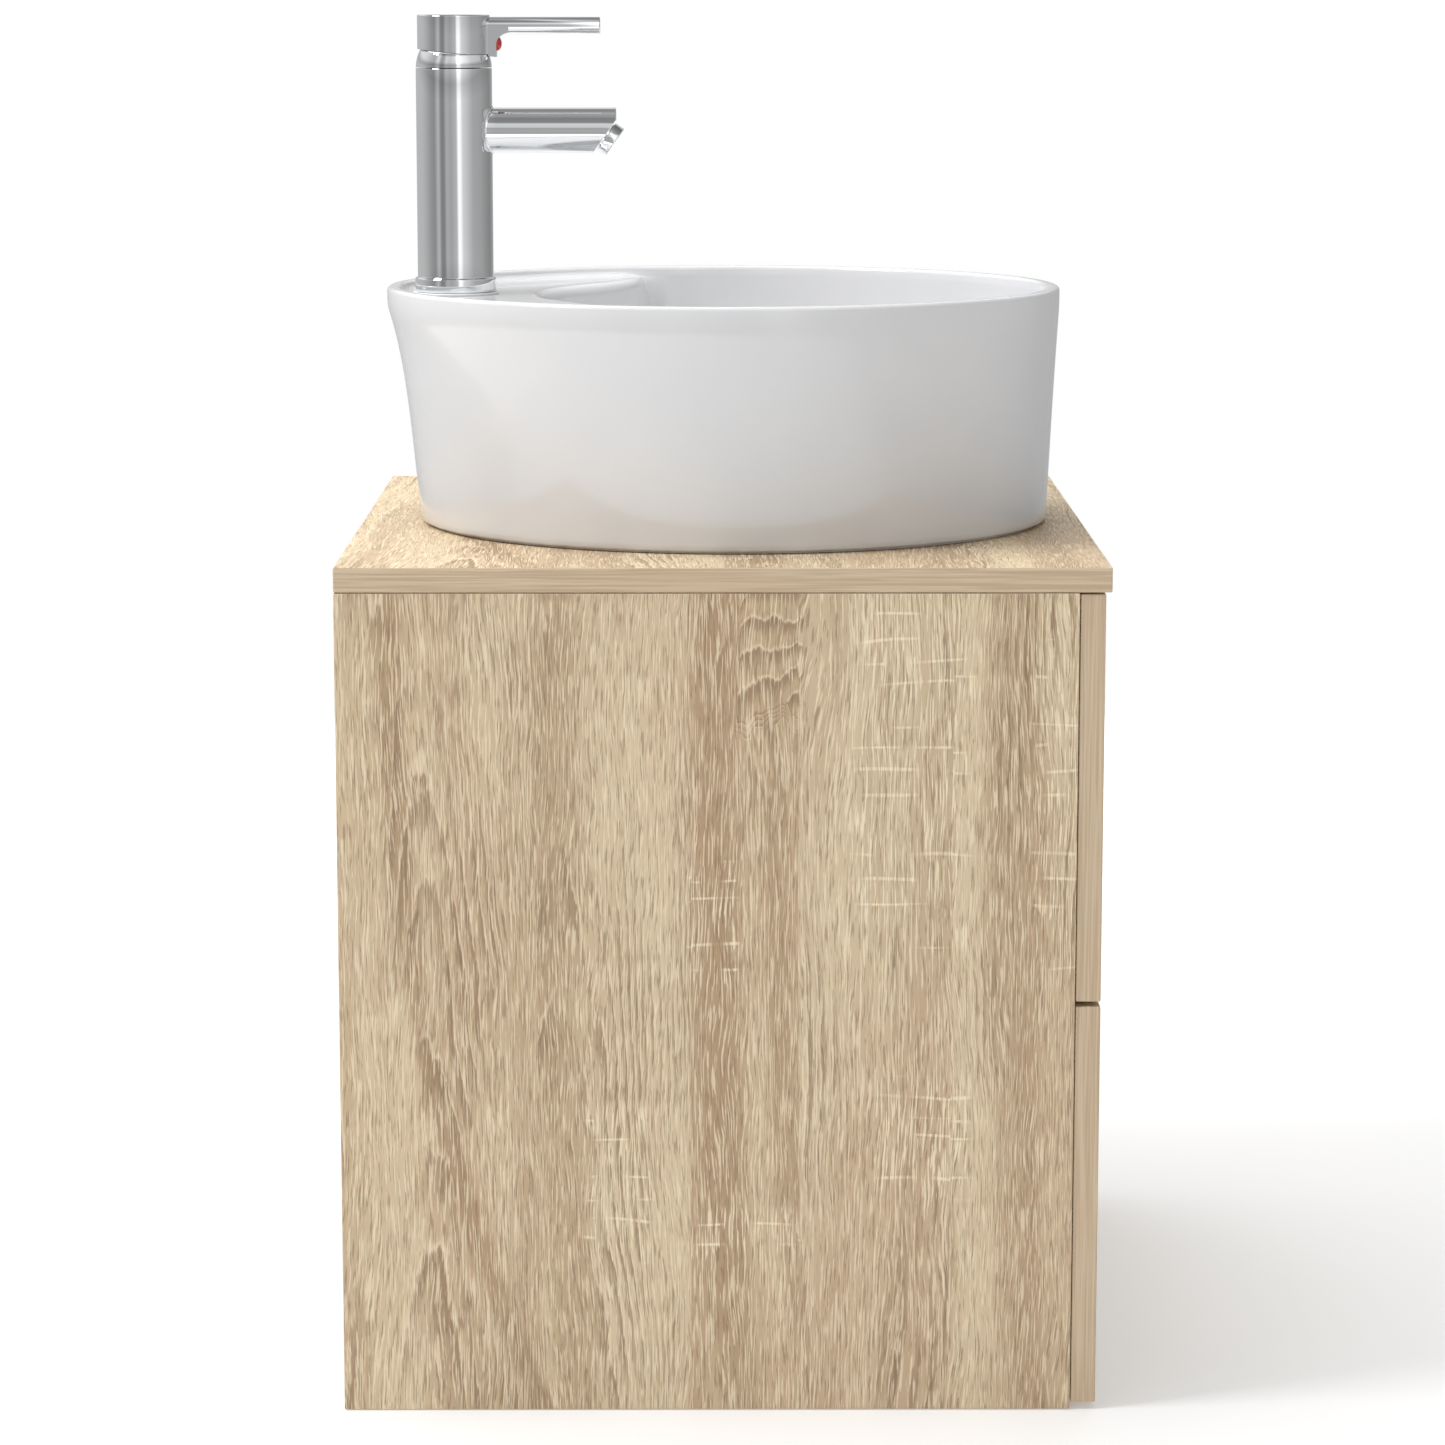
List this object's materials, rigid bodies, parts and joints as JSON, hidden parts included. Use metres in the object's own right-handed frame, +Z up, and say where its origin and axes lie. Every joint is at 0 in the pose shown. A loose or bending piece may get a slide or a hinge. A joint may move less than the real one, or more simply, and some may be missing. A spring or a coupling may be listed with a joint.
{
  "type": "vessel sink on vanity",
  "caption": "Round ceramic vessel basin with a chrome single-lever mixer on a wall-hung oak-decor vanity with two pull-out drawers.",
  "frame": {"origin": "centre of the cabinet's base, midway between its sides and between the worktop's front and back edges", "axes": "+Z up, +Y towards the wall, the drawers open towards -Y, +X to the right of a person who faces the drawers"},
  "size_m": [0.5, 0.46, 0.8364],
  "materials": {
    "oak_decor": "satin printed oak decor on board",
    "drawer_board": "satin printed oak decor on thinner board",
    "glazed_ceramic": "glossy white glaze",
    "chrome": "polished",
    "zinc_plated_steel": "zinc plated",
    "brass": "machined",
    "white_plastic": "moulded, slight texture",
    "rubber": "matte",
    "clear_seal": "translucent soft plastic",
    "index_plastic": "glossy, red half and blue half"
  },
  "bodies": {
    "cabinet": {"worktop": "oak_decor", "side_panel_left": "oak_decor", "side_panel_right": "oak_decor", "bottom_panel": "oak_decor", "back_rail": "oak_decor", "front_stretcher": "oak_decor", "hanging_bracket_left": "zinc_plated_steel", "hanging_bracket_right": "zinc_plated_steel", "upper_drawer_runner_cabinet_left": "zinc_plated_steel", "upper_drawer_runner_cabinet_right": "zinc_plated_steel", "lower_drawer_runner_cabinet_left": "zinc_plated_steel", "lower_drawer_runner_cabinet_right": "zinc_plated_steel", "basin": "glazed_ceramic", "waste_body": "chrome", "waste_gasket": "rubber", "waste_lock_nut": "brass", "trap_inlet_nut": "white_plastic", "trap_dip_tube": "white_plastic", "trap_body": "white_plastic", "trap_cup": "white_plastic", "trap_outlet_nut": "white_plastic", "trap_outlet_tube": "white_plastic", "mixer_gasket": "clear_seal", "mixer_body": "chrome", "spout": "chrome", "aerator": "chrome", "bonnet": "chrome", "cartridge": "white_plastic", "cartridge_nut": "brass", "fixing_stud": "zinc_plated_steel", "horseshoe_washer": "zinc_plated_steel", "fixing_nut": "zinc_plated_steel", "inlet_tail_hot": "brass", "inlet_tail_cold": "brass"},
    "upper_drawer": {"upper_drawer_front": "oak_decor", "upper_drawer_bottom": "drawer_board", "upper_drawer_side_left": "drawer_board", "upper_drawer_side_right": "drawer_board", "upper_drawer_back_left": "drawer_board", "upper_drawer_back_right": "drawer_board", "siphon_guard": "white_plastic", "upper_drawer_runner_drawer_left": "zinc_plated_steel", "upper_drawer_runner_drawer_right": "zinc_plated_steel"},
    "lower_drawer": {"lower_drawer_front": "oak_decor", "lower_drawer_bottom": "drawer_board", "lower_drawer_side_left": "drawer_board", "lower_drawer_side_right": "drawer_board", "lower_drawer_back": "drawer_board", "lower_drawer_runner_drawer_left": "zinc_plated_steel", "lower_drawer_runner_drawer_right": "zinc_plated_steel"},
    "upper_middle_rails": {"upper_drawer_runner_middle_left": "zinc_plated_steel", "upper_drawer_runner_middle_right": "zinc_plated_steel"},
    "lower_middle_rails": {"lower_drawer_runner_middle_left": "zinc_plated_steel", "lower_drawer_runner_middle_right": "zinc_plated_steel"},
    "mixer_rotor": {"cartridge_carrier": "white_plastic"},
    "mixer_handle": {"handle": "chrome", "mixer_stem": "zinc_plated_steel", "index_button": "index_plastic", "grub_screw": "zinc_plated_steel"},
    "waste_cap": {"waste_cap": "chrome"}
  },
  "joints": [
    {"name": "upper_drawer_slide", "type": "slide", "parent": "cabinet", "child": "upper_drawer", "axis": [0, -1, 0], "range_m": [0, 0.3]},
    {"name": "lower_drawer_slide", "type": "slide", "parent": "cabinet", "child": "lower_drawer", "axis": [0, -1, 0], "range_m": [0, 0.3]},
    {"name": "upper_middle_slide", "type": "slide", "parent": "cabinet", "child": "upper_middle_rails", "axis": [0, -1, 0], "range_m": [0, 0.15]},
    {"name": "lower_middle_slide", "type": "slide", "parent": "cabinet", "child": "lower_middle_rails", "axis": [0, -1, 0], "range_m": [0, 0.15]},
    {"name": "mixer_turn", "type": "hinge", "parent": "cabinet", "child": "mixer_rotor", "pos_m": [0, 0.17, 0.803], "axis": [0, 0, 1], "range_deg": [-45, 45]},
    {"name": "mixer_lift", "type": "hinge", "parent": "mixer_rotor", "child": "mixer_handle", "pos_m": [0, 0.17, 0.803], "axis": [-1, 0, 0], "range_deg": [0, 25]},
    {"name": "waste_cap_press", "type": "slide", "parent": "cabinet", "child": "waste_cap", "axis": [0, 0, 1], "range_m": [-0.008, 0], "stiffness_N_per_m": 250, "springref_m": 0.01}
  ],
  "couplings": [
    {"joint": "upper_middle_slide", "follows": "upper_drawer_slide", "ratio": 0.5},
    {"joint": "lower_middle_slide", "follows": "lower_drawer_slide", "ratio": 0.5}
  ]
}
